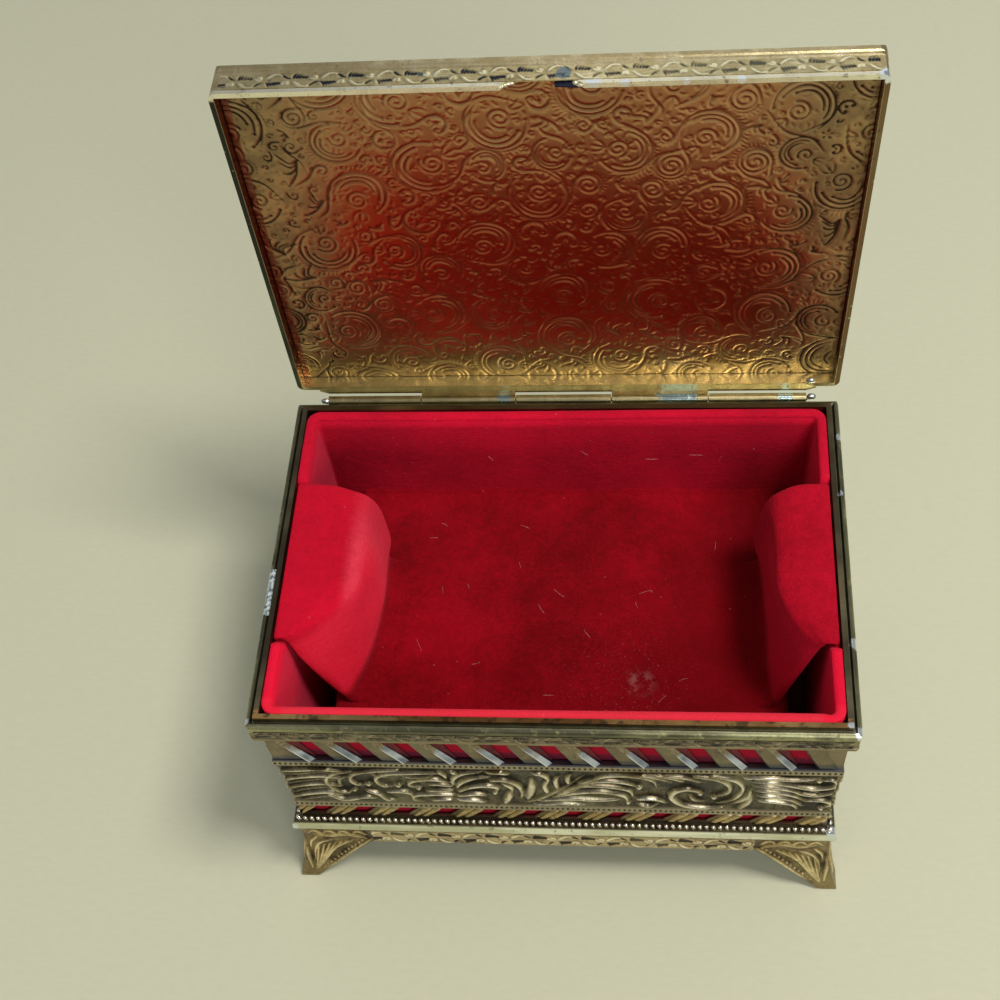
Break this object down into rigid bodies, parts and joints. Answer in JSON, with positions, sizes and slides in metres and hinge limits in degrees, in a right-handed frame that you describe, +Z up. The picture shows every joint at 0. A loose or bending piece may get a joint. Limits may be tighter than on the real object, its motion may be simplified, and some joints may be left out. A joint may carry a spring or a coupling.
{
  "type": "footed trinket box",
  "caption": "Rectangular gilt metal trinket box on flared bracket feet, with pierced and embossed walls, red velvet lining and a hinged lid standing open.",
  "frame": {"origin": "on the surface that the feet stand on, under the middle of the bounding box with the lid open", "axes": "+Z up, +X to the right along the front, +Y from the front to the hinge"},
  "size_m": [0.118, 0.092, 0.1469],
  "materials": {
    "gilt_brass": "gilt brass, aged, dark patina in the recesses",
    "hinge_brass": "drawn brass, worn bright, with traces of solder",
    "pin_steel": "dull wire",
    "base_sheet": "plain sheet, tarnished",
    "red_velvet": "short-pile cotton velvet over card",
    "backing_card": "plain grey-brown card"
  },
  "bodies": {
    "box": {"rim_frame": "gilt_brass", "wall_front": "gilt_brass", "wall_rear": "gilt_brass", "wall_left": "gilt_brass", "wall_right": "gilt_brass", "base_rail": "gilt_brass", "apron_front": "gilt_brass", "apron_rear": "gilt_brass", "apron_left": "gilt_brass", "apron_right": "gilt_brass", "foot_front_left": "gilt_brass", "foot_front_right": "gilt_brass", "foot_rear_left": "gilt_brass", "foot_rear_right": "gilt_brass", "bottom_plate": "base_sheet", "lining_band": "red_velvet", "floor_riser": "backing_card", "floor_saddle": "red_velvet", "hinge_leaf_body": "hinge_brass", "hinge_pin": "pin_steel"},
    "lid": {"lid_frame": "gilt_brass", "lid_top": "gilt_brass", "lid_liner": "gilt_brass", "hinge_leaf_lid": "hinge_brass"}
  },
  "joints": [
    {"name": "lid_hinge", "type": "hinge", "parent": "box", "child": "lid", "pos_m": [0, 0.0355, 0.0674], "axis": [1, 0, 0], "range_deg": [0, 90]}
  ]
}
